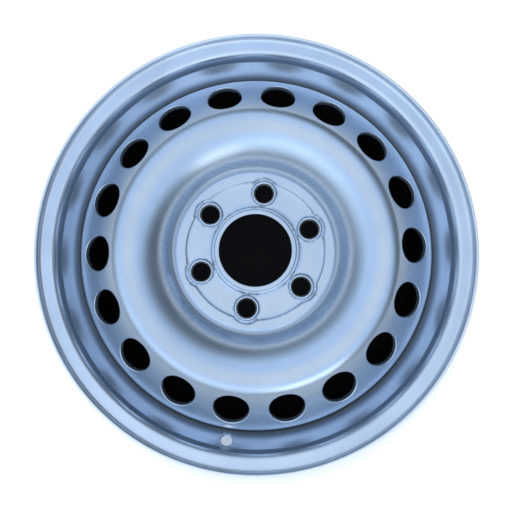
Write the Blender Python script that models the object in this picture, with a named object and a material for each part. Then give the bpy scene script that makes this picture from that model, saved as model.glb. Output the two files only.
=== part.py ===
"""Steel road wheel for a van: a rolled rim, a pressed disc and the weld beads that join them.

The wheel lies flat with its axle line on Z and its outboard face up. Z = 0 is the
edge of the inboard flange, which it rests on. One lug hole lies on +X.
"""

from math import acos, atan2, ceil, cos, pi, radians, sin, sqrt, tan

import bmesh
import bpy
from mathutils import Matrix, Vector

MM = 0.001

# Rim: radii and widths are on the tyre's side of the sheet
RIM_WIDTH = 177.8 * MM
BEAD_SEAT_RADIUS = 218.3 * MM
FLANGE_HEIGHT = 17.3 * MM
RIM_SHEET = 2.8 * MM
LIP_LENGTH = 2.0 * MM
CURL_RADIUS = 7.3 * MM
HEEL_RADIUS = 2.8 * MM
SEAT_TAPER = radians(5)
SEAT_LENGTH = 10.0 * MM
HUMP_FOOT_RADIUS = 2.5 * MM
HUMP_TOP_RADIUS = 4.0 * MM
HUMP_RISE = radians(13)
WELL_DEPTH = 16.8 * MM
WELL_WIDTH = 30.0 * MM
WELL_CORNER_RADIUS = 8.0 * MM
DROP_ANGLE = radians(38)
LEDGE_ANGLE = radians(20)
LEDGE_BEND_RADIUS = 15.0 * MM

# Valve hole, on the outboard drop wall
VALVE_HOLE_RADIUS = 6.0 * MM
VALVE_FROM_HUMP = 8.0 * MM
VALVE_ANGLE = radians(240)

# Disc: heights are above its mounting face, radii on its outboard side
WHEEL_OFFSET = 62.0 * MM
DISC_SHEET = 5.0 * MM
BORE_RADIUS = 40.5 * MM
COLLAR_HEIGHT = 3.2 * MM
COLLAR_FILLET = 1.5 * MM
HUB_MARGIN = 9.5 * MM
HUB_EDGE_RADIUS = 5.8 * MM
HUB_EDGE_FALL = radians(25)
VALLEY_RADIUS = 5.0 * MM
BOWL_ANGLE = radians(60)
BOWL_RADIUS = 52.0 * MM
CREST_RISE = 36.1 * MM
CREST_RADIUS = 22.0 * MM
RING_FALL = radians(33)
SHOULDER_RADIUS = 12.0 * MM
PRESS_LENGTH = 18.0 * MM

# Lug holes, each in a raised boss, in a sunken channel round the hub
LUG_COUNT = 6
LUG_CIRCLE_RADIUS = 65.0 * MM
LUG_HOLE_RADIUS = 10.0 * MM
LUG_SEAT_RADIUS = 11.8 * MM
LUG_SEAT_SLOPE = radians(30)
BOSS_FOOT_WALL = 2.6 * MM
BOSS_HEIGHT = 2.4 * MM
BOSS_SLOPE = radians(55)
CHANNEL_DEPTH = 1.6 * MM
CHANNEL_FROM_COLLAR = 2.0 * MM
CHANNEL_REACH_OUT = 12.5 * MM
CHANNEL_LOBE_WALL = 5.5 * MM

# Vents, in the sloping ring outside the crest
VENT_COUNT = 18
VENT_RADIUS = 19.4 * MM
VENT_INSET = 25.1 * MM

# Weld beads, between the end of the disc's flange and the well
WELD_COUNT = 6
WELD_LEG = 4.5 * MM
WELD_ARC = radians(26)
WELD_TAPER = 0.4

CLEARANCE = 0.3 * MM
CUT_MARGIN = 2.0 * MM
MERGE = 0.001 * MM

ROUND_SEGMENTS = 60
HOLE_SEGMENTS = 24
ARC_TOLERANCE = 0.5 * MM
LOBE_STEPS = 5
CHANNEL_STEPS = 5
WELD_SEGMENTS = 10
WELD_ARC_POINTS = 4

# Sizes that follow
RIM_RADIUS = BEAD_SEAT_RADIUS + FLANGE_HEIGHT
OVERALL_WIDTH = RIM_WIDTH + 2 * (LIP_LENGTH + CURL_RADIUS)
WELL_RADIUS = BEAD_SEAT_RADIUS - WELL_DEPTH
WELL_INNER_RADIUS = WELL_RADIUS - RIM_SHEET
MOUNT_HEIGHT = OVERALL_WIDTH / 2 + WHEEL_OFFSET
CHANNEL_FLOOR = MOUNT_HEIGHT + DISC_SHEET
HUB_TOP = CHANNEL_FLOOR + CHANNEL_DEPTH
COLLAR_FOOT_RADIUS = BORE_RADIUS + DISC_SHEET + COLLAR_FILLET
HUB_RADIUS = LUG_CIRCLE_RADIUS + CHANNEL_REACH_OUT + HUB_MARGIN
DISC_RADIUS = WELL_INNER_RADIUS - CLEARANCE
CREST_TOP = MOUNT_HEIGHT + CREST_RISE
BOSS_FOOT_RADIUS = LUG_SEAT_RADIUS + BOSS_FOOT_WALL


def clear_scene():
    for item in list(bpy.data.objects):
        bpy.data.objects.remove(item, do_unlink=True)


def ahead(heading):
    """The unit step along a heading, which is measured from the outward radial direction."""
    return Vector((cos(heading), sin(heading)))


def left_of(heading):
    return Vector((-sin(heading), cos(heading)))


class SheetPath:
    """One surface of a sheet, followed in the (radius, height) plane; the sheet lies to its right."""

    def __init__(self, radius, height, heading, thickness):
        self.place = Vector((radius, height))
        self.heading = heading
        self.thickness = thickness
        self.stations = [(self.place.copy(), heading)]

    def keep(self):
        self.stations.append((self.place.copy(), self.heading))

    def line(self, length):
        self.place = self.place + length * ahead(self.heading)
        self.keep()

    def turn(self, angle, radius):
        """An arc of the given radius, to the left if the angle is positive."""
        side = 1 if angle > 0 else -1
        widest = radius + self.thickness if angle > 0 else radius
        steps = ceil(abs(angle) / (2 * acos(1 - ARC_TOLERANCE / widest)))
        centre = self.place + side * radius * left_of(self.heading)
        start = self.heading
        for step in range(1, steps + 1):
            self.heading = start + angle * step / steps
            self.place = centre - side * radius * left_of(self.heading)
            self.keep()

    def outline(self):
        """The closed section of the sheet, down one surface and back up the other."""
        front = [place for place, heading in self.stations]
        back = [place - self.thickness * left_of(heading) for place, heading in self.stations]
        return front + back[::-1]


def follow_bead_side(path, web_length, outboard):
    """The lip, curl, web, heel, seat and hump of one side, from the edge or towards it."""
    moves = [
        ("line", LIP_LENGTH),
        ("turn", -pi / 2, CURL_RADIUS),
        ("line", web_length),
        ("turn", pi / 2 - SEAT_TAPER, HEEL_RADIUS),
        ("line", SEAT_LENGTH),
        ("turn", SEAT_TAPER + HUMP_RISE, HUMP_FOOT_RADIUS),
        ("turn", -HUMP_RISE - (DROP_ANGLE if outboard else LEDGE_ANGLE), HUMP_TOP_RADIUS),
    ]
    for kind, *sizes in moves if outboard else moves[::-1]:
        getattr(path, kind)(*sizes)


def rim_path(ledge_drop=0.0, ledge_length=0.0):
    """The tyre's side of the rim from the outboard edge to the inboard edge."""
    path = SheetPath(RIM_RADIUS, OVERALL_WIDTH, -pi / 2, RIM_SHEET)
    heel_depth = HEEL_RADIUS * sin(pi / 2 - SEAT_TAPER)
    web_length = FLANGE_HEIGHT - CURL_RADIUS - heel_depth
    follow_bead_side(path, web_length, outboard=True)
    path.drop_start = path.place.copy()
    corner_depth = WELL_CORNER_RADIUS * (1 - cos(DROP_ANGLE))
    path.line((path.place.x - WELL_RADIUS - corner_depth) / sin(DROP_ANGLE))
    path.turn(DROP_ANGLE, WELL_CORNER_RADIUS)
    path.well_top = path.place.y
    path.line(WELL_WIDTH)
    path.turn(LEDGE_ANGLE, LEDGE_BEND_RADIUS)
    path.line(ledge_drop)
    path.turn(-LEDGE_ANGLE, LEDGE_BEND_RADIUS)
    path.line(ledge_length)
    path.turn(LEDGE_ANGLE, LEDGE_BEND_RADIUS)
    follow_bead_side(path, web_length, outboard=False)
    return path


def closed_rim_path():
    """The rim's path with its ledge sized to end at the inboard edge."""
    loose_end = rim_path().place
    ledge_drop = (RIM_RADIUS - loose_end.x) / sin(LEDGE_ANGLE)
    ledge_length = loose_end.y - ledge_drop * cos(LEDGE_ANGLE)
    return rim_path(ledge_drop, ledge_length)


def disc_path(flange_end):
    """The outboard side of the disc from the collar's top to the end of the flange."""
    path = SheetPath(BORE_RADIUS + DISC_SHEET, HUB_TOP + COLLAR_HEIGHT, -pi / 2, DISC_SHEET)
    path.line(COLLAR_HEIGHT - COLLAR_FILLET)
    path.turn(pi / 2, COLLAR_FILLET)
    path.line(HUB_RADIUS - path.place.x)
    path.turn(-HUB_EDGE_FALL, HUB_EDGE_RADIUS)
    path.turn(HUB_EDGE_FALL + BOWL_ANGLE, VALLEY_RADIUS)
    bowl_rise = BOWL_RADIUS * (1 - cos(BOWL_ANGLE))
    path.line((CREST_TOP - bowl_rise - path.place.y) / sin(BOWL_ANGLE))
    path.turn(-BOWL_ANGLE, BOWL_RADIUS)
    path.turn(-RING_FALL, CREST_RADIUS)
    path.ring_start = path.place.copy()
    shoulder_reach = SHOULDER_RADIUS * (1 - sin(RING_FALL))
    path.line((DISC_RADIUS - shoulder_reach - path.place.x) / cos(RING_FALL))
    path.turn(RING_FALL - pi / 2, SHOULDER_RADIUS)
    path.line(path.place.y - flange_end)
    return path


def spin_outline(points, segments, closed=True):
    """A bmesh turned round Z from an outline in the (radius, height) plane.

    A solid outline, which starts and ends on the axis, is turned half a segment
    on, so that no corner of it falls on an edge of the piece it cuts.
    """
    turned = bmesh.new()
    start = 0 if closed else pi / segments
    corners = [
        turned.verts.new((radius * cos(start), radius * sin(start), height)) for radius, height in points
    ]
    pairs = list(zip(corners, corners[1:]))
    if closed:
        pairs.append((corners[-1], corners[0]))
    edges = [turned.edges.new(pair) for pair in pairs]
    bmesh.ops.spin(
        turned, geom=corners + edges, cent=(0, 0, 0), axis=(0, 0, 1),
        angle=2 * pi, steps=segments, use_merge=True,
    )
    bmesh.ops.remove_doubles(turned, verts=turned.verts, dist=MERGE)
    bmesh.ops.recalc_face_normals(turned, faces=turned.faces)
    return turned


def add_object(name, shape):
    mesh = bpy.data.meshes.new(name)
    shape.to_mesh(mesh)
    shape.free()
    item = bpy.data.objects.new(name, mesh)
    bpy.context.scene.collection.objects.link(item)
    return item


def add_repeated(name, shape, placings):
    """One object that holds a copy of the shape at each placing."""
    single = bpy.data.meshes.new(name + "_single")
    shape.to_mesh(single)
    shape.free()
    together = bmesh.new()
    for placing in placings:
        before = len(together.verts)
        together.from_mesh(single)
        together.verts.ensure_lookup_table()
        bmesh.ops.transform(together, matrix=placing, verts=together.verts[before:])
    bpy.data.meshes.remove(single)
    return add_object(name, together)


def apply_with(target, tool, operation):
    """Cut the tool from the target, or join it on."""
    tool.hide_render = True
    tool.display_type = "WIRE"
    boolean = target.modifiers.new(tool.name, "BOOLEAN")
    boolean.object = tool
    boolean.operation = operation
    boolean.solver = "EXACT"


def shade(item, sharp_angle):
    item.data.shade_smooth()
    item.data.set_sharp_from_angle(angle=sharp_angle)


def paint(name, colour, roughness, metallic):
    material = bpy.data.materials.new(name)
    material.use_nodes = True
    shader = material.node_tree.nodes["Principled BSDF"]
    shader.inputs["Base Color"].default_value = (*colour, 1)
    shader.inputs["Roughness"].default_value = roughness
    shader.inputs["Metallic"].default_value = metallic
    return material


def turns(count):
    return [Matrix.Rotation(2 * pi * index / count, 4, "Z") for index in range(count)]


def rod(radius, low, high):
    return spin_outline([(0, low), (radius, low), (radius, high), (0, high)], HOLE_SEGMENTS, closed=False)


def make_rim(path):
    rim = add_object("rim", spin_outline(path.outline(), ROUND_SEGMENTS))
    hole_heading = -pi / 2 - DROP_ANGLE
    on_wall = path.drop_start + VALVE_FROM_HUMP * ahead(hole_heading)
    reach = RIM_SHEET + CUT_MARGIN
    placing = (
        Matrix.Rotation(VALVE_ANGLE, 4, "Z")
        @ Matrix.Translation((on_wall.x, 0, on_wall.y))
        @ Matrix.Rotation(DROP_ANGLE - pi / 2, 4, "Y")
    )
    valve_hole = add_repeated("valve_hole_cutter", rod(VALVE_HOLE_RADIUS, -reach, reach), [placing])
    apply_with(rim, valve_hole, "DIFFERENCE")
    rim.data.materials.append(paint("rim_paint", (0.62, 0.66, 0.72), 0.3, 0.6))
    shade(rim, radians(40))
    return rim


def channel_edge():
    """The channel's outer edge as (radius, angle) points: a circle that bulges round each boss."""
    ring_radius = LUG_CIRCLE_RADIUS + CHANNEL_REACH_OUT
    lobe = LUG_SEAT_RADIUS + CHANNEL_LOBE_WALL
    along = (ring_radius**2 - LUG_CIRCLE_RADIUS**2 - lobe**2) / (2 * LUG_CIRCLE_RADIUS)
    meet = atan2(sqrt(lobe**2 - along**2), LUG_CIRCLE_RADIUS + along)
    pitch = 2 * pi / LUG_COUNT
    points = []
    for lug in range(LUG_COUNT):
        for step in range(LOBE_STEPS + 1):
            angle = meet * (2 * step / LOBE_STEPS - 1)
            reach = sqrt(lobe**2 - (LUG_CIRCLE_RADIUS * sin(angle)) ** 2)
            points.append((LUG_CIRCLE_RADIUS * cos(angle) + reach, lug * pitch + angle))
        for step in range(1, CHANNEL_STEPS):
            angle = meet + (pitch - 2 * meet) * step / CHANNEL_STEPS
            points.append((ring_radius, lug * pitch + angle))
    return points


def channel_block(name, low, high):
    """The hub's channel as a solid: a ring from near the collar to past the bosses."""
    outer = channel_edge()
    inner = [(COLLAR_FOOT_RADIUS + CHANNEL_FROM_COLLAR, angle) for radius, angle in outer]
    block = bmesh.new()
    section = [(inner, low), (outer, low), (outer, high), (inner, high)]
    loops = [
        [block.verts.new((radius * cos(angle), radius * sin(angle), height)) for radius, angle in loop]
        for loop, height in section
    ]
    count = len(outer)
    for first, second in zip(loops, loops[1:] + loops[:1]):
        for index in range(count):
            after = (index + 1) % count
            block.faces.new((first[index], first[after], second[after], second[index]))
    bmesh.ops.recalc_face_normals(block, faces=block.faces)
    return add_object(name, block)


def boss_block(name, foot, height, foot_radius):
    """Six truncated cones on the lug circle, narrowing upwards from their foot."""
    slope_run = height / tan(BOSS_SLOPE)
    cone = spin_outline(
        [
            (0, foot - CHANNEL_DEPTH),
            (foot_radius, foot - CHANNEL_DEPTH),
            (foot_radius, foot),
            (foot_radius - slope_run, foot + height),
            (0, foot + height),
        ],
        HOLE_SEGMENTS, closed=False,
    )
    out = Matrix.Translation((LUG_CIRCLE_RADIUS, 0, 0))
    return add_repeated(name, cone, [turn @ out for turn in turns(LUG_COUNT)])


def lug_cutter():
    """The lug holes with the cone that each nut seats in."""
    boss_top = CHANNEL_FLOOR + BOSS_HEIGHT
    seat_depth = (LUG_SEAT_RADIUS - LUG_HOLE_RADIUS) / tan(LUG_SEAT_SLOPE)
    above = CUT_MARGIN * tan(LUG_SEAT_SLOPE)
    hole = spin_outline(
        [
            (0, MOUNT_HEIGHT - CUT_MARGIN),
            (LUG_HOLE_RADIUS, MOUNT_HEIGHT - CUT_MARGIN),
            (LUG_HOLE_RADIUS, boss_top - seat_depth),
            (LUG_SEAT_RADIUS + above, boss_top + CUT_MARGIN),
            (0, boss_top + CUT_MARGIN),
        ],
        HOLE_SEGMENTS, closed=False,
    )
    out = Matrix.Translation((LUG_CIRCLE_RADIUS, 0, 0))
    return add_repeated("lug_hole_cutter", hole, [turn @ out for turn in turns(LUG_COUNT)])


def vent_cutter(ring_start):
    """The vents, punched square to the sloping ring."""
    circle = DISC_RADIUS - VENT_INSET
    height = ring_start.y - (circle - ring_start.x) * tan(RING_FALL)
    reach = DISC_SHEET + VENT_RADIUS
    punch = rod(VENT_RADIUS, -reach, reach)
    tilt = Matrix.Translation((circle, 0, height)) @ Matrix.Rotation(RING_FALL, 4, "Y")
    return add_repeated("vent_cutter", punch, [turn @ tilt for turn in turns(VENT_COUNT)])


def make_disc(flange_end):
    path = disc_path(flange_end)
    disc = add_object("disc", spin_outline(path.outline(), ROUND_SEGMENTS))
    sunk = channel_block("channel_cutter", CHANNEL_FLOOR, HUB_TOP + COLLAR_HEIGHT + CUT_MARGIN)
    pads = channel_block("pad_block", MOUNT_HEIGHT, CHANNEL_FLOOR - CHANNEL_DEPTH)
    bosses = boss_block("boss_block", CHANNEL_FLOOR, BOSS_HEIGHT, BOSS_FOOT_RADIUS)
    hollows = boss_block("boss_hollow_cutter", MOUNT_HEIGHT, BOSS_HEIGHT, BOSS_FOOT_RADIUS)
    apply_with(disc, sunk, "DIFFERENCE")
    apply_with(disc, pads, "UNION")
    apply_with(disc, hollows, "DIFFERENCE")
    apply_with(disc, bosses, "UNION")
    apply_with(disc, vent_cutter(path.ring_start), "DIFFERENCE")
    apply_with(disc, lug_cutter(), "DIFFERENCE")
    disc.data.materials.append(paint("disc_paint", (0.60, 0.65, 0.72), 0.25, 0.6))
    shade(disc, radians(40))
    return disc


def weld_bead(flange_end):
    """One bead in the corner below the flange's end, thinner towards both ends."""
    corner_radius = WELL_INNER_RADIUS - CLEARANCE
    corner_height = flange_end - CLEARANCE
    bead = bmesh.new()
    rings = []
    for step in range(WELD_SEGMENTS + 1):
        along = 2 * step / WELD_SEGMENTS - 1
        leg = WELD_LEG * (1 - WELD_TAPER * abs(along) ** 4)
        turn = Matrix.Rotation(WELD_ARC / 2 * along, 3, "Z")
        section = [(corner_radius, corner_height)]
        for index in range(WELD_ARC_POINTS + 1):
            angle = pi / 2 * index / WELD_ARC_POINTS
            section.append((corner_radius - leg * cos(angle), corner_height - leg * sin(angle)))
        rings.append([bead.verts.new(turn @ Vector((radius, 0, height))) for radius, height in section])
    size = len(rings[0])
    for first, second in zip(rings, rings[1:]):
        for index in range(size):
            after = (index + 1) % size
            bead.faces.new((first[index], first[after], second[after], second[index]))
    bead.faces.new(rings[0])
    bead.faces.new(rings[-1])
    bmesh.ops.recalc_face_normals(bead, faces=bead.faces)
    return bead


def make_weld_beads(flange_end):
    weld_paint = paint("weld_paint", (0.55, 0.58, 0.63), 0.4, 0.5)
    between_lugs = Matrix.Rotation(pi / LUG_COUNT, 4, "Z")
    for index, turn in enumerate(turns(WELD_COUNT), start=1):
        bead = add_repeated(f"weld_bead_{index}", weld_bead(flange_end), [turn @ between_lugs])
        bead.data.materials.append(weld_paint)
        shade(bead, radians(50))


def main():
    clear_scene()
    path = closed_rim_path()
    flange_end = path.well_top - PRESS_LENGTH
    make_rim(path)
    make_disc(flange_end)
    make_weld_beads(flange_end)


main()
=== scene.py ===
"""Looks of the steel wheel rim: smooth pressed sheets in silver paint, on a pale floor.

Lengths are in metres. The wheel lies flat with its axle line on Z and its outboard
face up, and one lug hole on +X, as in the CAD frame.
"""

from math import acos, atan2, ceil, cos, pi, radians, sin, sqrt, tan

import bpy
from mathutils import Matrix, Vector


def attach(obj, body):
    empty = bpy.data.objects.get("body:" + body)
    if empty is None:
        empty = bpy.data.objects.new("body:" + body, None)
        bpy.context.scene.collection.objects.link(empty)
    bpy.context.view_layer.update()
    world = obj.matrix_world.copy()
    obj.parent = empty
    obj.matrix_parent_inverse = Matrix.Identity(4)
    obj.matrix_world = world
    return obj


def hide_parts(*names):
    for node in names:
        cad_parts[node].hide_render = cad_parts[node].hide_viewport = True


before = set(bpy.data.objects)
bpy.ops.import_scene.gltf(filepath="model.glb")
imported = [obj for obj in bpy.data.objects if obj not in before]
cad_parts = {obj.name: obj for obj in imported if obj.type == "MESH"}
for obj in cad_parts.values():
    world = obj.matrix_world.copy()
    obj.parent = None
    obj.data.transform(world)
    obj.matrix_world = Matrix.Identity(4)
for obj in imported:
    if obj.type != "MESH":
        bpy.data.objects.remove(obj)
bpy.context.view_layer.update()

MM = 0.001

# Sizes of the CAD model
RIM_WIDTH = 177.8 * MM
BEAD_SEAT_RADIUS = 218.3 * MM
FLANGE_HEIGHT = 17.3 * MM
RIM_SHEET = 2.8 * MM
LIP_LENGTH = 2.0 * MM
CURL_RADIUS = 7.3 * MM
HEEL_RADIUS = 2.8 * MM
SEAT_TAPER = radians(5)
SEAT_LENGTH = 10.0 * MM
HUMP_FOOT_RADIUS = 2.5 * MM
HUMP_TOP_RADIUS = 4.0 * MM
HUMP_RISE = radians(13)
WELL_DEPTH = 16.8 * MM
WELL_WIDTH = 30.0 * MM
WELL_CORNER_RADIUS = 8.0 * MM
DROP_ANGLE = radians(38)
LEDGE_ANGLE = radians(20)
LEDGE_BEND_RADIUS = 15.0 * MM
VALVE_HOLE_RADIUS = 6.0 * MM
VALVE_FROM_HUMP = 8.0 * MM
VALVE_ANGLE = radians(240)

WHEEL_OFFSET = 62.0 * MM
DISC_SHEET = 5.0 * MM
BORE_RADIUS = 40.5 * MM
COLLAR_HEIGHT = 3.2 * MM
COLLAR_FILLET = 1.5 * MM
HUB_MARGIN = 9.5 * MM
HUB_EDGE_RADIUS = 5.8 * MM
HUB_EDGE_FALL = radians(25)
VALLEY_RADIUS = 5.0 * MM
BOWL_ANGLE = radians(60)
BOWL_RADIUS = 52.0 * MM
CREST_RISE = 36.1 * MM
CREST_RADIUS = 22.0 * MM
RING_FALL = radians(33)
SHOULDER_RADIUS = 12.0 * MM
PRESS_LENGTH = 18.0 * MM
LUG_COUNT = 6
LUG_CIRCLE_RADIUS = 65.0 * MM
LUG_HOLE_RADIUS = 10.0 * MM
LUG_SEAT_RADIUS = 11.8 * MM
LUG_SEAT_SLOPE = radians(30)
BOSS_HEIGHT = 2.4 * MM
CHANNEL_DEPTH = 1.6 * MM
CHANNEL_INNER = 49.2 * MM
CHANNEL_REACH_OUT = 12.5 * MM
CHANNEL_LOBE = 17.3 * MM
VENT_COUNT = 18
VENT_RADIUS = 19.4 * MM
VENT_INSET = 25.1 * MM
WELD_COUNT = 6
WELD_LEG = 4.5 * MM
WELD_ARC = radians(26)
WELD_TAPER = 0.4
CLEARANCE = 0.3 * MM

RIM_RADIUS = BEAD_SEAT_RADIUS + FLANGE_HEIGHT
OVERALL_WIDTH = RIM_WIDTH + 2 * (LIP_LENGTH + CURL_RADIUS)
WELL_RADIUS = BEAD_SEAT_RADIUS - WELL_DEPTH
MOUNT_HEIGHT = OVERALL_WIDTH / 2 + WHEEL_OFFSET
CHANNEL_FLOOR = MOUNT_HEIGHT + DISC_SHEET
HUB_TOP = CHANNEL_FLOOR + CHANNEL_DEPTH
CHANNEL_OUTER = LUG_CIRCLE_RADIUS + CHANNEL_REACH_OUT
HUB_RADIUS = CHANNEL_OUTER + HUB_MARGIN
COLLAR_FOOT_RADIUS = BORE_RADIUS + DISC_SHEET + COLLAR_FILLET
WELL_INNER_RADIUS = WELL_RADIUS - RIM_SHEET
DISC_RADIUS = WELL_INNER_RADIUS - CLEARANCE
CREST_TOP = MOUNT_HEIGHT + CREST_RISE
LUG_SEAT_DEPTH = (LUG_SEAT_RADIUS - LUG_HOLE_RADIUS) / tan(LUG_SEAT_SLOPE)

# Half a millimetre above the place where the disc's shoulder meets its flange
SHOULDER_END = 158.0 * MM

# How finely the surfaces are drawn
ARC_STEP = radians(6)
ROUND_SEGMENTS = 216
ROUND_STEPS = 4
BACK_ROUND_STEPS = 3
VENT_SIDE_STEPS = 12
BOSS_STEPS = 6
FLOOR_ROWS = 6
HOLE_SEGMENTS = 64
EDGE_ROWS = 4
WELD_SIDES = 10
WELD_RIPPLES = 34
RIPPLE_STEPS = 4
WELD_END = 0.94
RIPPLE_DEPTH = 0.07
EDGE_ROUND = 0.7 * MM
VENT_ROUND = 1.1 * MM
MERGE_DISTANCE = 0.005 * MM
SMOOTH_ANGLE = radians(45)
WELD_SMOOTH_ANGLE = radians(50)

# The pressed steps of the hub, and how far each loop round a lug or a vent lies towards its sector's edge
STEP_HALF = 0.9 * MM
STEP_STOPS = [STEP_HALF * share for share in (1, 0.5, 0, -0.5, -1)]
BOSS_FOOT = 14.8 * MM
BOSS_TOP = 12.7 * MM
SEAT_EDGE = 0.35 * MM
SEAT_BREAK = 0.1 * MM
LUG_SHARES = (1.0, 0.85, 0.7, 0.55, 0.4, 0.25, 0.12)
VENT_SHARES = (1.0, 0.8, 0.6, 0.42, 0.26, 0.12, 0.0)

# The valve hole's flare: how much wider than the hole, and how deep in the sheet
VALVE_FLARE = ((3.0, -2.3), (0.9, -0.2), (0.5, 0.2), (0.2, 0.55), (0, 0.9))

# Paint, dirt, and painted shade and highlight
PAINT_METALLIC = 0.87
INSIDE_SHADE = (0.030, 0.032, 0.036)
RUBBED_AND_HIGHLIGHT = (0.86, 0.91, 0.95)
DIRT_AND_SHADE = (0.035, 0.04, 0.05)
DIRT_AND_SHADE_ROUGHNESS = 0.8
VALLEY_SHADE = 0.32
CREASE_SHADE = 0.62
HIDDEN_SHARE = 0.96

# Floor, sky and lamp; azimuths are counted in the photo's frame
FLOOR_SIZE = 6
FLOOR_LIFT = 0.62
FLOOR_COLOURS = (0.80, 0.81, 0.82), (0.77, 0.78, 0.79)
SHADE_UNDER_WHEEL = (0.012, 0.012, 0.014)
PHOTO_ANGLE = radians(21.49)
PHOTO_TURN = Matrix.Rotation(-PHOTO_ANGLE, 4, "Z")
BRIGHT_AZIMUTH = radians(240)
BRIGHT_GLOW = (0.50, 0.54, 0.56)
DARK_AZIMUTH = radians(32)
DARK_SHADE = (0.26, 0.24, 0.23)
SKY_STOPS = (
    (0.0, (0.08, 0.10, 0.13)),
    (0.35, (0.12, 0.15, 0.19)),
    (0.6, (0.40, 0.49, 0.60)),
    (0.8, (0.80, 0.96, 1.16)),
    (0.9, (0.62, 0.80, 1.10)),
    (1.0, (1.0, 1.0, 1.0)),
)

# The camera, in the photo's frame
CAMERA_LENS = 34.57
CAMERA_SENSOR = 36
CAMERA_PLACE = Vector((0.00871, -0.04981, 0.51731 + OVERALL_WIDTH))
CAMERA_AHEAD = Vector((-0.01454, 0.07915, -0.99676))
CAMERA_UP = Vector((0, 0.99686, 0.07916))


def direction(heading):
    return Vector((cos(heading), sin(heading)))


def left_of(heading):
    return Vector((-sin(heading), cos(heading)))


class SheetPath:
    """One surface of a sheet, followed in the (radius, height) plane; the sheet lies to its right."""

    def __init__(self, radius, height, heading, thickness):
        self.place = Vector((radius, height))
        self.heading = heading
        self.thickness = thickness
        self.length = 0.0
        self.moves = []
        self.stops = [0.0]
        self.stations = [(self.place.copy(), heading)]

    def keep(self, length):
        self.length += length
        self.stops.append(self.length)
        self.stations.append((self.place.copy(), self.heading))

    def line(self, length, steps=1):
        self.moves.append((self.length, self.place.copy(), self.heading, 0.0))
        for _ in range(steps):
            self.place = self.place + length / steps * direction(self.heading)
            self.keep(length / steps)

    def turn(self, angle, radius):
        side = radius if angle > 0 else -radius
        self.moves.append((self.length, self.place.copy(), self.heading, 1 / side))
        centre = self.place + side * left_of(self.heading)
        start = self.heading
        steps = ceil(abs(angle) / ARC_STEP)
        for step in range(1, steps + 1):
            self.heading = start + angle * step / steps
            self.place = centre - side * left_of(self.heading)
            self.keep(abs(side * angle) / steps)

    def at(self, distance):
        """The place and heading at a distance along the path."""
        passed = [move for move in self.moves if move[0] <= distance + MERGE_DISTANCE]
        begin, place, heading, bend = passed[-1]
        run = distance - begin
        if not bend:
            return place + run * direction(heading), heading
        centre = place + left_of(heading) / bend
        heading = heading + run * bend
        return centre - left_of(heading) / bend, heading

    def off(self, distance, depth=0.0):
        """A point at a depth below the surface."""
        place, heading = self.at(distance)
        return place - depth * left_of(heading)

    def between(self, first, last):
        """The stops from one distance to another, both included."""
        inside = [stop for stop in self.stops if first + MERGE_DISTANCE < stop < last - MERGE_DISTANCE]
        return [first] + inside + [last]


def follow_bead_side(path, outboard):
    heel_depth = HEEL_RADIUS * sin(pi / 2 - SEAT_TAPER)
    moves = [
        ("line", LIP_LENGTH),
        ("turn", -pi / 2, CURL_RADIUS),
        ("line", FLANGE_HEIGHT - CURL_RADIUS - heel_depth),
        ("turn", pi / 2 - SEAT_TAPER, HEEL_RADIUS),
        ("line", SEAT_LENGTH),
        ("turn", SEAT_TAPER + HUMP_RISE, HUMP_FOOT_RADIUS),
        ("turn", -HUMP_RISE - (DROP_ANGLE if outboard else LEDGE_ANGLE), HUMP_TOP_RADIUS),
    ]
    for kind, *sizes in moves if outboard else moves[::-1]:
        getattr(path, kind)(*sizes)


def rim_path(ledge_drop=0.0, ledge_length=0.0):
    path = SheetPath(RIM_RADIUS, OVERALL_WIDTH, -pi / 2, RIM_SHEET)
    follow_bead_side(path, outboard=True)
    path.drop_start = path.place.copy()
    corner_depth = WELL_CORNER_RADIUS * (1 - cos(DROP_ANGLE))
    path.line((path.place.x - WELL_RADIUS - corner_depth) / sin(DROP_ANGLE), 3)
    path.turn(DROP_ANGLE, WELL_CORNER_RADIUS)
    path.well_top = path.place.y
    path.line(WELL_WIDTH, 2)
    path.turn(LEDGE_ANGLE, LEDGE_BEND_RADIUS)
    path.line(ledge_drop)
    path.turn(-LEDGE_ANGLE, LEDGE_BEND_RADIUS)
    path.line(ledge_length, 3)
    path.turn(LEDGE_ANGLE, LEDGE_BEND_RADIUS)
    follow_bead_side(path, outboard=False)
    return path


def closed_rim_path():
    loose_end = rim_path().place
    ledge_drop = (RIM_RADIUS - loose_end.x) / sin(LEDGE_ANGLE)
    ledge_length = loose_end.y - ledge_drop * cos(LEDGE_ANGLE)
    return rim_path(ledge_drop, ledge_length)


def disc_path(flange_end):
    """The disc's outboard side, with the distances where its zones meet."""
    path = SheetPath(BORE_RADIUS + DISC_SHEET, HUB_TOP + COLLAR_HEIGHT, -pi / 2, DISC_SHEET)
    path.line(COLLAR_HEIGHT - COLLAR_FILLET)
    path.turn(pi / 2, COLLAR_FILLET)
    path.hub_start = path.length
    path.line(HUB_RADIUS - path.place.x)
    path.hub_end = path.length
    path.turn(-HUB_EDGE_FALL, HUB_EDGE_RADIUS)
    path.turn(HUB_EDGE_FALL + BOWL_ANGLE, VALLEY_RADIUS)
    bowl_rise = BOWL_RADIUS * (1 - cos(BOWL_ANGLE))
    path.line((CREST_TOP - bowl_rise - path.place.y) / sin(BOWL_ANGLE))
    path.turn(-BOWL_ANGLE, BOWL_RADIUS)
    path.turn(-RING_FALL, CREST_RADIUS)
    path.vent_middle = path.length + (DISC_RADIUS - VENT_INSET - path.place.x) / cos(RING_FALL)
    shoulder_reach = SHOULDER_RADIUS * (1 - sin(RING_FALL))
    path.line((DISC_RADIUS - shoulder_reach - path.place.x) / cos(RING_FALL))
    path.ring_end = path.length
    path.ring_start = 2 * path.vent_middle - path.ring_end
    path.turn(RING_FALL - pi / 2, SHOULDER_RADIUS)
    path.line(path.place.y - flange_end, 3)
    return path


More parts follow.
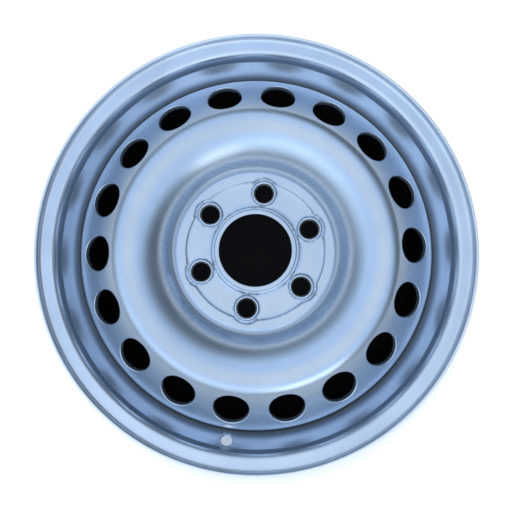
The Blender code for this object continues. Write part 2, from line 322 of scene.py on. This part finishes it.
def rounded_end(path, distance, radius, reverse=False):
    """Points round the sheet's cut end, from the front surface to the back."""
    place, heading = path.at(distance)
    ahead = -direction(heading) if reverse else direction(heading)
    inwards = -left_of(heading)
    points = []
    for turn_start, depth in ((0, radius), (pi / 2, path.thickness - radius)):
        centre = place - radius * ahead + depth * inwards
        for step in range(ROUND_STEPS + 1):
            angle = turn_start + pi / 2 * step / ROUND_STEPS
            points.append(centre + radius * (sin(angle) * ahead - cos(angle) * inwards))
    return points


def start_new():
    if bpy.context.object and bpy.context.object.mode != "OBJECT":
        bpy.ops.object.mode_set(mode="OBJECT")
    bpy.ops.object.select_all(action="DESELECT")


def make_active(item):
    start_new()
    bpy.context.view_layer.objects.active = item
    item.select_set(True)


def spun_sheet(name, points, closed):
    """A section drawn point by point and spun round the axle line."""
    start_new()
    bpy.ops.mesh.primitive_plane_add(size=MM, location=(0, 0, 0))
    item = bpy.context.object
    item.name = name
    bpy.ops.object.mode_set(mode="EDIT")
    bpy.ops.mesh.select_mode(type="VERT")
    bpy.ops.mesh.select_all(action="SELECT")
    bpy.ops.mesh.merge(type="CENTER")
    bpy.ops.transform.translate(value=(points[0].x, 0, points[0].y))
    for before, after in zip(points, points[1:]):
        step = after - before
        bpy.ops.mesh.extrude_region_move(TRANSFORM_OT_translate={"value": (step.x, 0, step.y)})
    if closed:
        bpy.ops.object.mode_set(mode="OBJECT")
        item.data.vertices[0].select = True
        bpy.ops.object.mode_set(mode="EDIT")
        bpy.ops.mesh.edge_face_add()
    bpy.ops.mesh.select_all(action="SELECT")
    bpy.ops.mesh.spin(steps=ROUND_SEGMENTS, angle=2 * pi, center=(0, 0, 0), axis=(0, 0, 1))
    bpy.ops.object.mode_set(mode="OBJECT")
    return item


def tidy_mesh(item, smooth_angle):
    """Merge what meets, turn all faces outwards and smooth the sheet."""
    make_active(item)
    bpy.ops.object.mode_set(mode="EDIT")
    bpy.ops.mesh.select_all(action="SELECT")
    bpy.ops.mesh.remove_doubles(threshold=MERGE_DISTANCE)
    bpy.ops.mesh.normals_make_consistent(inside=False)
    bpy.ops.object.mode_set(mode="OBJECT")
    bpy.ops.object.shade_smooth_by_angle(angle=smooth_angle)
    item.data.name = item.name


def laid_loops(name, loops):
    """A ring laid down and extruded loop by loop to its place."""
    start_new()
    count = len(loops[0])
    bpy.ops.mesh.primitive_circle_add(vertices=count, radius=MM, location=(0, 0, 0))
    item = bpy.context.object
    item.name = name
    for number, loop in enumerate(loops):
        if number:
            bpy.ops.object.mode_set(mode="EDIT")
            bpy.ops.mesh.extrude_region_move()
            bpy.ops.object.mode_set(mode="OBJECT")
        points = item.data.vertices
        for index, point in enumerate(loop):
            points[number * count + index].co = point
        if not number:
            bpy.ops.object.mode_set(mode="EDIT")
            bpy.ops.mesh.select_mode(type="VERT")
            bpy.ops.mesh.select_all(action="SELECT")
            bpy.ops.object.mode_set(mode="OBJECT")
    return item


def copies_round(item, count):
    """The piece and its copies, turned round the axle line, each with its own mesh."""
    made = [item]
    for index in range(1, count):
        copy = item.copy()
        copy.data = item.data.copy()
        copy.data.transform(Matrix.Rotation(2 * pi * index / count, 4, "Z"))
        bpy.context.scene.collection.objects.link(copy)
        made.append(copy)
    return made


def joined(name, parts):
    make_active(parts[0])
    for part in parts:
        part.select_set(True)
    bpy.ops.object.join()
    item = bpy.context.object
    item.name = name
    return item


def frame_points(angle_span, near, far, along, across):
    """(angle, distance) points round a sector, from its far side's start, against the clock."""
    half = angle_span / 2
    points = []
    points += [(-half + angle_span * step / along, far) for step in range(along)]
    points += [(half, far + (near - far) * step / across) for step in range(across)]
    points += [(half - angle_span * step / along, near) for step in range(along)]
    points += [(-half, near + (far - near) * step / across) for step in range(across)]
    return points


def vent_sector(path):
    """One vent with the sheet round it, front and back, as the ring's share of 20 degrees."""
    middle = path.vent_middle
    pitch = 2 * pi / VENT_COUNT
    edge = frame_points(pitch, path.ring_start, path.ring_end, VENT_SIDE_STEPS, VENT_SIDE_STEPS)
    flat_edge = []
    for angle, distance in edge:
        flat_edge.append(Vector((angle * path.at(distance)[0].x, distance - middle)))
    aims = [atan2(point.y, point.x) for point in flat_edge]

    def loop(radius, depth, share=0.0):
        points = []
        for (angle, distance), flat, aim in zip(edge, flat_edge, aims):
            here = Vector((radius * cos(aim), radius * sin(aim))).lerp(flat, share)
            place = path.off(middle + here.y, depth)
            around = here.x / path.at(middle + here.y)[0].x if share < 1 else angle
            points.append((place.x * cos(around), place.x * sin(around), place.y))
        return points

    front_foot = VENT_RADIUS + VENT_ROUND
    back_round = VENT_ROUND / 2
    loops = [loop(front_foot, 0, share) for share in VENT_SHARES]
    for step in range(1, ROUND_STEPS + 1):
        angle = pi / 2 * step / ROUND_STEPS
        loops.append(loop(front_foot - VENT_ROUND * sin(angle), VENT_ROUND * (1 - cos(angle))))
    for step in range(BACK_ROUND_STEPS + 1):
        angle = pi / 2 * step / BACK_ROUND_STEPS
        depth = path.thickness - back_round * (1 - sin(angle))
        loops.append(loop(VENT_RADIUS + back_round * (1 - cos(angle)), depth))
    loops += [loop(VENT_RADIUS + back_round, path.thickness, share) for share in VENT_SHARES[-2::-1]]
    return laid_loops("vent_sector", loops)


def smooth_step(value):
    value = min(max(value, 0.0), 1.0)
    return value * value * (3 - 2 * value)


def pressed(radius, from_lug):
    """How far the hub's sheet lies above its flat, negative in the channel."""
    outside = max(CHANNEL_INNER - radius, min(radius - CHANNEL_OUTER, from_lug - CHANNEL_LOBE))
    sunk = CHANNEL_DEPTH * smooth_step(0.5 - outside / (2 * STEP_HALF))
    raised = BOSS_HEIGHT * smooth_step((BOSS_FOOT - from_lug) / (BOSS_FOOT - BOSS_TOP))
    return raised - sunk


def aim_at(radius, from_lug):
    """The direction from a lug, off the outward one, of the point at both distances."""
    return acos((radius**2 - LUG_CIRCLE_RADIUS**2 - from_lug**2) / (2 * LUG_CIRCLE_RADIUS * from_lug))


def reach_inwards(aim, radius):
    """How far from a lug the circle of this radius lies in the direction of the aim."""
    along = LUG_CIRCLE_RADIUS * cos(aim)
    inside = along**2 - LUG_CIRCLE_RADIUS**2 + radius**2
    return -along - sqrt(inside) if inside > 0 > along else pi


def hub_rows():
    """The radii down a sector's side: close together where the sheet steps down and up."""
    outer_step = [CHANNEL_OUTER + stop for stop in STEP_STOPS]
    inner_step = [CHANNEL_INNER - stop for stop in STEP_STOPS[::-1]]
    edge = [HUB_RADIUS + (outer_step[0] - HUB_RADIUS) * step / EDGE_ROWS for step in range(EDGE_ROWS)]
    fall = inner_step[0] - outer_step[-1]
    floor_rows = [outer_step[-1] + fall * step / FLOOR_ROWS for step in range(1, FLOOR_ROWS)]
    return edge + outer_step + floor_rows + inner_step + [COLLAR_FOOT_RADIUS]


def lug_sector():
    """One lug hole in its boss with the hub round it, front and back, as 60 degrees of the hub.

    The outer loops run from the sector's edge to a circle round the lug; between them,
    the points of each row keep their radius, so that the channel's steps stay true arcs.
    """
    rows = hub_rows()
    along = ROUND_SEGMENTS // LUG_COUNT
    half = pi / LUG_COUNT
    arc = [half * (2 * step / along - 1) for step in range(along)]
    edge = [(rows[0], angle) for angle in arc] + [(row, half) for row in rows[:-1]]
    edge += [(rows[-1], -angle) for angle in arc] + [(row, -half) for row in rows[:0:-1]]

    around = CHANNEL_LOBE + STEP_HALF
    side = [aim_at(row, around) for row in rows[EDGE_ROWS:-1]]
    steps = along + 2 * EDGE_ROWS
    outward = [side[0] * (2 * step / steps - 1) for step in range(steps + 1)]
    steps = along + 2
    inward = [side[-1] + 2 * (pi - side[-1]) * step / steps for step in range(steps + 1)]
    aims = outward[EDGE_ROWS:] + side[1:-1] + inward
    aims += [-aim for aim in side[-2:0:-1]] + outward[:EDGE_ROWS]

    def loop(stop, depth=0.0, share=0.0):
        points = []
        for aim, (edge_radius, edge_angle) in zip(aims, edge):
            from_lug = min(CHANNEL_LOBE + stop, reach_inwards(aim, CHANNEL_INNER - stop))
            here = Vector((LUG_CIRCLE_RADIUS, 0)) + from_lug * direction(aim)
            radius = here.length + share * (edge_radius - here.length)
            angle = atan2(here.y, here.x)
            angle += share * (edge_angle - angle)
            here = radius * direction(angle)
            from_lug = (here - Vector((LUG_CIRCLE_RADIUS, 0))).length
            points.append((here.x, here.y, HUB_TOP + pressed(radius, from_lug) - depth))
        return points

    def ring(radius, depth=0.0):
        points = []
        for aim in aims:
            here = Vector((LUG_CIRCLE_RADIUS, 0)) + radius * direction(aim)
            points.append((here.x, here.y, HUB_TOP + pressed(here.length, radius) - depth))
        return points

    boss = [BOSS_FOOT + (BOSS_TOP - BOSS_FOOT) * step / BOSS_STEPS for step in range(BOSS_STEPS + 1)]
    cone = [(LUG_SEAT_RADIUS + SEAT_EDGE, 0.0), (LUG_SEAT_RADIUS + SEAT_BREAK, 0.8 * SEAT_BREAK)]
    for share in (0.12, 0.4, 0.7, 1.0):
        radius = LUG_SEAT_RADIUS + (LUG_HOLE_RADIUS - LUG_SEAT_RADIUS) * share
        cone.append((radius, LUG_SEAT_DEPTH * share))
    cone.append((LUG_HOLE_RADIUS, DISC_SHEET - SEAT_EDGE))
    cone.append((LUG_HOLE_RADIUS + SEAT_BREAK, DISC_SHEET - SEAT_BREAK))
    cone.append((LUG_HOLE_RADIUS + SEAT_EDGE, DISC_SHEET))
    loops = [loop(STEP_HALF, 0, share) for share in LUG_SHARES]
    loops += [loop(stop) for stop in STEP_STOPS]
    loops += [ring(radius) for radius in boss]
    loops += [ring(radius, depth) for radius, depth in cone]
    loops += [ring(radius, DISC_SHEET) for radius in boss[::-1]]
    loops += [loop(stop, DISC_SHEET) for stop in STEP_STOPS[::-1]]
    loops += [loop(STEP_HALF, DISC_SHEET, share) for share in LUG_SHARES[::-1]]
    return laid_loops("lug_sector", loops)


def make_disc(flange_end):
    path = disc_path(flange_end)
    thick = path.thickness
    collar_stops = path.between(EDGE_ROUND, path.hub_start)
    collar = [path.off(stop) for stop in collar_stops[::-1]]
    collar += rounded_end(path, 0, EDGE_ROUND, reverse=True)[1:-1]
    collar += [path.off(stop, thick) for stop in collar_stops]
    bowl_stops = path.between(path.hub_end, path.ring_start)
    bowl = [path.off(stop) for stop in bowl_stops]
    underside = [path.off(stop, thick) for stop in bowl_stops]
    flange_stops = path.between(path.ring_end, path.length - EDGE_ROUND)
    flange = [path.off(stop) for stop in flange_stops]
    flange += rounded_end(path, path.length, EDGE_ROUND)[1:-1]
    flange += [path.off(stop, thick) for stop in flange_stops[::-1]]
    parts = [
        spun_sheet("collar", collar, closed=False),
        spun_sheet("bowl", bowl, closed=False),
        spun_sheet("underside", underside, closed=False),
        spun_sheet("flange", flange, closed=False),
    ]
    parts += copies_round(lug_sector(), LUG_COUNT)
    parts += copies_round(vent_sector(path), VENT_COUNT)
    disc = joined("disc_sheet", parts)
    tidy_mesh(disc, SMOOTH_ANGLE)
    return disc


def make_rim():
    path = closed_rim_path()
    stops = path.between(EDGE_ROUND, path.length - EDGE_ROUND)
    section = [path.off(stop) for stop in stops]
    section += rounded_end(path, path.length, EDGE_ROUND)[1:-1]
    section += [path.off(stop, path.thickness) for stop in stops[::-1]]
    section += rounded_end(path, 0, EDGE_ROUND, reverse=True)[::-1][1:-1]
    rim = spun_sheet("rim_sheet", section, closed=True)
    tidy_mesh(rim, SMOOTH_ANGLE)
    cut_valve_hole(rim, path)
    return rim, path


def make_valve_tool():
    """A round cutter on the origin, flared where it meets both faces of the sheet."""
    stages = [(VALVE_HOLE_RADIUS + grown * MM, depth * MM) for grown, depth in VALVE_FLARE]
    stages += [(radius, RIM_SHEET - depth) for radius, depth in stages[::-1]]
    start_new()
    bpy.ops.mesh.primitive_circle_add(
        vertices=HOLE_SEGMENTS, radius=stages[0][0], fill_type="NGON", location=(0, 0, 0)
    )
    tool = bpy.context.object
    bpy.ops.object.mode_set(mode="EDIT")
    bpy.ops.mesh.select_all(action="SELECT")
    bpy.ops.transform.translate(value=(0, 0, stages[0][1]))
    for (wide, low), (wide_next, high) in zip(stages, stages[1:]):
        bpy.ops.mesh.extrude_region_move(TRANSFORM_OT_translate={"value": (0, 0, high - low)})
        bpy.ops.transform.resize(value=(wide_next / wide, wide_next / wide, 1))
    bpy.ops.mesh.select_all(action="SELECT")
    bpy.ops.mesh.normals_make_consistent(inside=False)
    bpy.ops.object.mode_set(mode="OBJECT")
    return tool


def cut_valve_hole(rim, path):
    """The valve hole, square to the wall that drops into the well."""
    on_wall = path.drop_start + VALVE_FROM_HUMP * direction(-pi / 2 - DROP_ANGLE)
    tool = make_valve_tool()
    tool.matrix_world = (
        Matrix.Rotation(VALVE_ANGLE, 4, "Z")
        @ Matrix.Translation((on_wall.x, 0, on_wall.y))
        @ Matrix.Rotation(DROP_ANGLE - pi / 2, 4, "Y")
    )
    make_active(rim)
    cut = rim.modifiers.new("cut", "BOOLEAN")
    cut.object = tool
    cut.solver = "EXACT"
    bpy.ops.object.modifier_apply(modifier=cut.name)
    bpy.data.objects.remove(tool, do_unlink=True)
    make_active(rim)
    bpy.ops.object.shade_smooth_by_angle(angle=SMOOTH_ANGLE)


def make_weld_bead(flange_end):
    """One bead in the corner below the flange's end: a filled corner drawn out along its arc.

    The weld's ripples are small swellings, one for each step of the torch.
    """
    corner_radius = WELL_INNER_RADIUS - CLEARANCE
    corner_height = flange_end - CLEARANCE
    angle = pi / WELD_COUNT - WELD_ARC / 2
    start_new()
    bpy.ops.mesh.primitive_circle_add(vertices=WELD_SIDES + 2, radius=MM, location=(0, 0, 0))
    bead = bpy.context.object
    bead.name = "weld_bead"
    bpy.ops.object.mode_set(mode="EDIT")
    bpy.ops.mesh.edge_face_add()
    bpy.ops.object.mode_set(mode="OBJECT")
    steps = WELD_RIPPLES * RIPPLE_STEPS
    count = WELD_SIDES + 2
    for step in range(steps + 1):
        if step:
            bpy.ops.object.mode_set(mode="EDIT")
            bpy.ops.mesh.extrude_region_move()
            bpy.ops.object.mode_set(mode="OBJECT")
        along = 2 * step / steps - 1
        phase = step % RIPPLE_STEPS / RIPPLE_STEPS
        end_round = sqrt(max(1 - (max(abs(along) - WELD_END, 0) / (1 - WELD_END)) ** 2, 0.05))
        ripple = 1 - RIPPLE_DEPTH * (1 - sin(pi * phase))
        leg = WELD_LEG * (1 - WELD_TAPER * abs(along) ** 4) * end_round * ripple
        section = [(corner_radius, corner_height)]
        for side in range(WELD_SIDES + 1):
            turn = pi / 2 * side / WELD_SIDES
            section.append((corner_radius - leg * cos(turn), corner_height - leg * sin(turn)))
        here = angle + WELD_ARC * step / steps
        for index, (radius, height) in enumerate(section):
            bead.data.vertices[step * count + index].co = (radius * cos(here), radius * sin(here), height)
    tidy_mesh(bead, WELD_SMOOTH_ANGLE)
    return bead


class Nodes:
    """A tree of nodes, with short calls for the patterns that are laid over each other."""

    def __init__(self, tree):
        self.tree = tree

    def add(self, kind, **settings):
        node = self.tree.nodes.new(kind)
        for name, value in settings.items():
            setattr(node, name, value)
        return node

    def link(self, source, target):
        self.tree.links.new(source, target)

    def give(self, socket, value):
        """Sets a socket to a number or a colour, or joins it to another node's output."""
        if isinstance(value, float):
            socket.default_value = value
        elif isinstance(value, tuple):
            socket.default_value = (*value, 1)
        else:
            self.link(value, socket)

    def spread(self, value, low, high, new_low=0.0, new_high=1.0, kind="LINEAR"):
        """The value from one range to another, held at its ends."""
        node = self.add("ShaderNodeMapRange", interpolation_type=kind)
        names = ("Value", "From Min", "From Max", "To Min", "To Max")
        for name, number in zip(names, (value, low, high, new_low, new_high)):
            self.give(node.inputs[name], number)
        return node.outputs["Result"]

    def calculate(self, operation, first, second=0.0):
        node = self.add("ShaderNodeMath", operation=operation)
        self.give(node.inputs[0], first)
        self.give(node.inputs[1], second)
        return node.outputs["Value"]

    def times(self, first, second):
        return self.calculate("MULTIPLY", first, second)

    def larger(self, first, second):
        return self.calculate("MAXIMUM", first, second)

    def length_of(self, across, along):
        squares = [self.times(part, part) for part in (across, along)]
        return self.calculate("SQRT", self.calculate("ADD", *squares))

    def apart(self, vector):
        """A vector's parts along X, Y and Z."""
        node = self.add("ShaderNodeSeparateXYZ")
        self.link(vector, node.inputs["Vector"])
        return node.outputs["X"], node.outputs["Y"], node.outputs["Z"]

    def tint(self, share, first, second, kind="MIX"):
        """A colour between two, each a colour or another tint's output."""
        node = self.add("ShaderNodeMix", data_type="RGBA", blend_type=kind)
        self.link(share, node.inputs[0])
        self.give(node.inputs[6], first)
        self.give(node.inputs[7], second)
        return node.outputs[2]

    def choose(self, share, first, second):
        """A shader between two."""
        node = self.add("ShaderNodeMixShader")
        self.link(share, node.inputs["Fac"])
        self.link(first, node.inputs[1])
        self.link(second, node.inputs[2])
        return node.outputs["Shader"]


class Paint(Nodes):
    """A material of one shader, with its patterns placed by the object's own coordinates."""

    def __init__(self, name):
        self.material = bpy.data.materials.new(name)
        self.material.use_nodes = True
        super().__init__(self.material.node_tree)
        self.shader = self.tree.nodes["Principled BSDF"]
        coordinates = self.add("ShaderNodeTexCoord").outputs
        self.place = coordinates["Object"]
        self.facing = coordinates["Normal"]

    def noise(self, scale, detail=2.0, roughness=0.5):
        node = self.add("ShaderNodeTexNoise")
        node.inputs["Scale"].default_value = scale
        node.inputs["Detail"].default_value = detail
        node.inputs["Roughness"].default_value = roughness
        self.link(self.place, node.inputs["Vector"])
        return node.outputs["Fac"]

    def radius_and_height(self):
        """How far a point lies from the axle line, and how high."""
        east, north, height = self.apart(self.place)
        return self.length_of(east, north), height

    def bump(self, height, distance, strength, below=None):
        node = self.add("ShaderNodeBump")
        node.inputs["Distance"].default_value = distance
        node.inputs["Strength"].default_value = strength
        self.link(height, node.inputs["Height"])
        if below:
            self.link(below, node.inputs["Normal"])
        return node.outputs["Normal"]


def hidden_side(paint, radius, height):
    """Where the sheet turns its back, painted dark as shade: the disc's underside and the barrel's inside
    below it.
    """
    down = paint.spread(paint.apart(paint.facing)[2], -0.35, -0.15, 1.0, 0.0)
    down = paint.times(down, paint.spread(radius, WELL_INNER_RADIUS, WELL_RADIUS, 1.0, 0.0))
    outwards = paint.add("ShaderNodeVectorMath", operation="DOT_PRODUCT")
    paint.link(paint.facing, outwards.inputs[0])
    paint.link(paint.place, outwards.inputs[1])
    inwards = paint.spread(outwards.outputs["Value"], -0.02, 0.02, 1.0, 0.0)
    below = paint.spread(height, SHOULDER_END - 12 * MM, SHOULDER_END - 2 * MM, 1.0, 0.0)
    return paint.times(paint.larger(down, inwards), below)


def from_nearest_lug(paint, radius):
    """How far a point of the hub lies from the nearest lug hole's middle."""
    east, north, _ = paint.apart(paint.place)
    turn = paint.calculate("PINGPONG", paint.calculate("ARCTAN2", north, east), pi / LUG_COUNT)
    outward = paint.times(radius, paint.calculate("COSINE", turn))
    outward = paint.calculate("SUBTRACT", outward, LUG_CIRCLE_RADIUS)
    sideways = paint.times(radius, paint.calculate("SINE", turn))
    return paint.length_of(outward, sideways)


def pressed_creases(paint, radius, from_lug):
    """The lines where the hub's sheet steps down into the channel and up onto a boss, where shade is
    painted.
    """
    past_lobe = paint.calculate("SUBTRACT", from_lug, CHANNEL_LOBE)
    past_arc = paint.calculate("SUBTRACT", radius, CHANNEL_OUTER)
    past_inner = paint.calculate("SUBTRACT", CHANNEL_INNER, radius)
    outside = paint.larger(past_inner, paint.calculate("MINIMUM", past_arc, past_lobe))
    step = paint.spread(paint.calculate("ABSOLUTE", outside), 0.7 * MM, 2.6 * MM, 1.0, 0.0)
    near_lobe = paint.spread(from_lug, CHANNEL_LOBE + 2 * MM, CHANNEL_LOBE + 8 * MM, 1.0, 0.2)
    foot = paint.calculate("ABSOLUTE", paint.calculate("SUBTRACT", from_lug, BOSS_FOOT))
    foot = paint.spread(foot, 0.3 * MM, 1.6 * MM, 0.7, 0.0)
    return paint.larger(paint.times(step, near_lobe), foot)


def gap_shade(paint, radius, height):
    """Painted shade in the dark crevice where the disc's flange goes into the rim."""
    near = paint.spread(radius, WELL_INNER_RADIUS - 6 * MM, WELL_INNER_RADIUS - MM)
    far = paint.spread(radius, WELL_INNER_RADIUS + MM, WELL_INNER_RADIUS + 5 * MM, 1.0, 0.0)
    low = paint.spread(height, SHOULDER_END - 2 * MM, SHOULDER_END + 7 * MM, 1.0, 0.0)
    return paint.times(paint.times(near, far), low)


def valley_shade(paint, radius):
    """Painted shade in the groove between the hub's edge and the bowl."""
    near = paint.spread(radius, HUB_RADIUS + MM, HUB_RADIUS + 4 * MM, 0.0, VALLEY_SHADE)
    far = paint.spread(radius, HUB_RADIUS + 7 * MM, HUB_RADIUS + 13 * MM, 1.0, 0.0)
    return paint.times(near, far)


def seat_wear_and_lip_highlight(paint, radius, height, from_lug):
    """The lug holes' cone seats, rubbed bright and partly a painted highlight, and the outboard flange's
    lip, a painted highlight.
    """
    seat = paint.spread(from_lug, LUG_SEAT_RADIUS + 0.2 * MM, LUG_SEAT_RADIUS + 0.8 * MM, 0.7, 0.0)
    lip_start = RIM_RADIUS - RIM_SHEET
    lip = paint.spread(radius, lip_start - 0.2 * MM, lip_start + 0.5 * MM, 0.0, 0.9)
    top = paint.spread(height, OVERALL_WIDTH - 1.6 * MM, OVERALL_WIDTH - 0.6 * MM)
    return paint.larger(seat, paint.times(lip, top))


def silver_paint(name, colour, shade, roughness, grime):
    """Fine silver paint over pressed steel, with random dull specks of dirt, painted shade in its crevice,
    creases, valley and hidden side, and a painted highlight on its lip and lug seats.
    """
    paint = Paint(name)
    flake = paint.noise(2600.0, 1.0)
    cloud = paint.noise(14.0, 3.0, 0.6)
    peel = paint.noise(420.0, 2.0)
    rolling = paint.noise(38.0, 2.0)
    specks = paint.noise(900.0, 3.0, 0.7)
    # random blots that break up the painted shade in the creases
    blots = paint.spread(paint.noise(150.0, 4.0, 0.7), 0.44, 0.62, 0.0, CREASE_SHADE)
    radius, height = paint.radius_and_height()
    from_lug = from_nearest_lug(paint, radius)

    # random specks of dirt; the painted shade is joined in below
    dirt_and_shade = paint.times(paint.spread(specks, 0.5, 0.72), paint.spread(cloud, 0.4, 0.7, 0.0, grime))
    # painted shade in the crevice round the disc's flange
    dirt_and_shade = paint.larger(dirt_and_shade, gap_shade(paint, radius, height))
    # painted shade along the pressed steps and round the bosses' feet
    dirt_and_shade = paint.larger(dirt_and_shade, paint.times(pressed_creases(paint, radius, from_lug), blots))
    # painted shade in the groove round the hub
    dirt_and_shade = paint.larger(dirt_and_shade, valley_shade(paint, radius))

    lighter = tuple(min(value * 1.12, 1.0) for value in colour)
    base = paint.tint(paint.spread(cloud, 0.3, 0.7), colour, shade)
    base = paint.tint(paint.spread(flake, 0.35, 0.75, 0.0, 0.35), base, lighter)
    # dark where dirt lies and where shade is painted
    base = paint.tint(dirt_and_shade, base, DIRT_AND_SHADE)
    # painted highlight on the flange's lip and, with wear, on the lug seats
    base = paint.tint(seat_wear_and_lip_highlight(paint, radius, height, from_lug), base, RUBBED_AND_HIGHLIGHT)
    # painted shade on the hidden side, dark enough that the holes look black
    base = paint.tint(paint.times(hidden_side(paint, radius, height), HIDDEN_SHARE), base, INSIDE_SHADE)
    paint.link(base, paint.shader.inputs["Base Color"])

    rough = paint.spread(cloud, 0.3, 0.7, roughness - 0.03, roughness + 0.04)
    rough = paint.calculate("ADD", rough, paint.spread(specks, 0.45, 0.75, 0.0, 0.06))
    # rougher and not metallic where dirt lies and where shade is painted
    rough = paint.larger(rough, paint.spread(dirt_and_shade, 0.0, 1.0, 0.0, DIRT_AND_SHADE_ROUGHNESS))
    paint.link(rough, paint.shader.inputs["Roughness"])
    paint.link(paint.spread(dirt_and_shade, 0.0, 1.0, PAINT_METALLIC, 0.0), paint.shader.inputs["Metallic"])

    normal = paint.bump(rolling, 0.35 * MM, 0.25)
    normal = paint.bump(peel, 0.02 * MM, 0.12, normal)
    paint.link(normal, paint.shader.inputs["Normal"])
    paint.shader.inputs["Coat Weight"].default_value = 0.35
    paint.shader.inputs["Coat Roughness"].default_value = 0.12
    return paint


def finish(piece, node, paint):
    piece.data.materials.clear()
    piece.data.materials.append(paint.material)
    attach(piece, "root")
    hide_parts(node)


def make_floor():
    """A pale floor, with painted shade below the wheel so that its holes look black, and lifted to white
    away from it.
    """
    start_new()
    bpy.ops.mesh.primitive_plane_add(size=FLOOR_SIZE, location=(0, 0, 0))
    floor = bpy.context.object
    floor.name = "floor"
    look = Paint("floor_paint")
    radius, _ = look.radius_and_height()
    pale = look.tint(look.spread(look.noise(3.0, 3.0), 0.3, 0.7), *FLOOR_COLOURS)
    # painted shade on the floor under the wheel, seen through its holes
    shade_under = look.spread(radius, RIM_RADIUS - 12 * MM, RIM_RADIUS - 6 * MM, 1.0, 0.0)
    look.link(look.tint(shade_under, pale, SHADE_UNDER_WHEEL), look.shader.inputs["Base Color"])
    look.shader.inputs["Roughness"].default_value = 0.8

    lift = look.add("ShaderNodeEmission")
    lift.inputs["Strength"].default_value = FLOOR_LIFT
    lifted = look.add("ShaderNodeAddShader")
    look.link(look.shader.outputs["BSDF"], lifted.inputs[0])
    look.link(lift.outputs["Emission"], lifted.inputs[1])
    rays = look.add("ShaderNodeLightPath").outputs
    shown = look.larger(rays["Is Camera Ray"], rays["Is Glossy Ray"])
    shown = look.larger(shown, rays["Is Transmission Ray"])
    # the glow fades in from 40 to 90 mm beyond the rim, so the floor near the wheel is darker partly from
    # its shadow and partly from the missing glow
    outside = look.spread(radius, RIM_RADIUS + 40 * MM, RIM_RADIUS + 90 * MM)
    surface = look.choose(look.times(shown, outside), look.shader.outputs["BSDF"], lifted.outputs["Shader"])
    look.link(surface, look.tree.nodes["Material Output"].inputs["Surface"])
    floor.data.materials.append(look.material)


def make_camera():
    camera_data = bpy.data.cameras.new("camera")
    camera_data.lens = CAMERA_LENS
    camera_data.sensor_width = CAMERA_SENSOR
    camera = bpy.data.objects.new("camera", camera_data)
    bpy.context.scene.collection.objects.link(camera)
    ahead = CAMERA_AHEAD.normalized()
    right = ahead.cross(CAMERA_UP).normalized()
    placing = Matrix((right, right.cross(ahead), -ahead)).transposed().to_4x4()
    placing.translation = CAMERA_PLACE
    camera.matrix_world = PHOTO_TURN @ placing
    bpy.context.scene.camera = camera


def soft_lamp(name, azimuth, elevation, distance, size, power, colour):
    """A round soft lamp that looks at the wheel."""
    lamp_data = bpy.data.lights.new(name, "AREA")
    lamp_data.energy = power
    lamp_data.color = colour
    lamp_data.shape = "DISK"
    lamp_data.size = size
    lamp = bpy.data.objects.new(name, lamp_data)
    bpy.context.scene.collection.objects.link(lamp)
    flat = distance * cos(elevation)
    aim = Vector((flat * cos(azimuth), flat * sin(azimuth), distance * sin(elevation)))
    placing = Matrix.Translation(aim) @ aim.to_track_quat("Z", "Y").to_matrix().to_4x4()
    lamp.matrix_world = PHOTO_TURN @ Matrix.Translation((0, 0, 0.15)) @ placing


def make_sky():
    """A plain studio sky: bright high up, darker low down, with a bright side and a dark side.

    To the camera it is white; a mirrored ray sees that white only near the floor.
    """
    world = bpy.data.worlds.new("world")
    world.use_nodes = True
    sky = Nodes(world.node_tree)
    east, north, rise = sky.apart(sky.add("ShaderNodeTexCoord").outputs["Generated"])

    def towards(azimuth, low, high):
        across = sky.times(east, cos(azimuth - PHOTO_ANGLE))
        along = sky.times(north, sin(azimuth - PHOTO_ANGLE))
        return sky.spread(sky.calculate("ADD", across, along), low, high, kind="SMOOTHSTEP")

    overhead = sky.add("ShaderNodeValToRGB")
    stops = overhead.color_ramp.elements
    stops.remove(stops[-1])
    for number, (place, colour) in enumerate(SKY_STOPS):
        stop = stops.new(place) if number else stops[0]
        stop.position = place
        stop.color = (*colour, 1)
    sky.link(rise, overhead.inputs["Fac"])
    bright = sky.times(towards(BRIGHT_AZIMUTH, 0.15, 0.75), sky.spread(rise, 0.2, 0.6, kind="SMOOTHSTEP"))
    colour = sky.tint(bright, overhead.outputs["Color"], BRIGHT_GLOW, "ADD")
    colour = sky.tint(towards(DARK_AZIMUTH, 0.33, 0.75), colour, DARK_SHADE, "MULTIPLY")
    shine = sky.tree.nodes["Background"]
    sky.link(colour, shine.inputs["Color"])

    white = sky.add("ShaderNodeBackground")
    white.inputs["Color"].default_value = (1, 1, 1, 1)
    rays = sky.add("ShaderNodeLightPath").outputs
    near_floor = sky.calculate("SUBTRACT", 1.0, sky.spread(rise, 0.1, 0.3, kind="SMOOTHSTEP"))
    shown = sky.larger(rays["Is Camera Ray"], rays["Is Transmission Ray"])
    shown = sky.larger(shown, sky.times(rays["Is Glossy Ray"], near_floor))
    surface = sky.choose(shown, shine.outputs["Background"], white.outputs["Background"])
    sky.link(surface, sky.tree.nodes["World Output"].inputs["Surface"])
    bpy.context.scene.world = world


rim, rim_line = make_rim()
flange_end = rim_line.well_top - PRESS_LENGTH
disc = make_disc(flange_end)
# the blue in these silver paints partly stands in for a blue sky's painted reflection, and the disc's paint
# is set darker than the rim's as painted shade
rim_paint = silver_paint("rim_paint", (0.62, 0.73, 0.87), (0.59, 0.70, 0.84), 0.30, 0.5)
disc_paint = silver_paint("disc_paint", (0.54, 0.66, 0.81), (0.51, 0.63, 0.78), 0.27, 0.3)
weld_paint = silver_paint("weld_paint", (0.44, 0.50, 0.58), (0.36, 0.41, 0.48), 0.45, 0.7)
finish(rim, "rim", rim_paint)
finish(disc, "disc", disc_paint)
for number, bead in enumerate(copies_round(make_weld_bead(flange_end), WELD_COUNT), start=1):
    bead.name = f"weld_bead_{number}_rippled"
    bead.data.name = bead.name
    finish(bead, f"weld_bead_{number}", weld_paint)

make_floor()
make_camera()
soft_lamp("low_lamp", radians(-64), radians(36), 2.0, 1.0, 2.6, (1.0, 0.98, 0.94))
make_sky()
bpy.context.scene.view_settings.view_transform = "Standard"
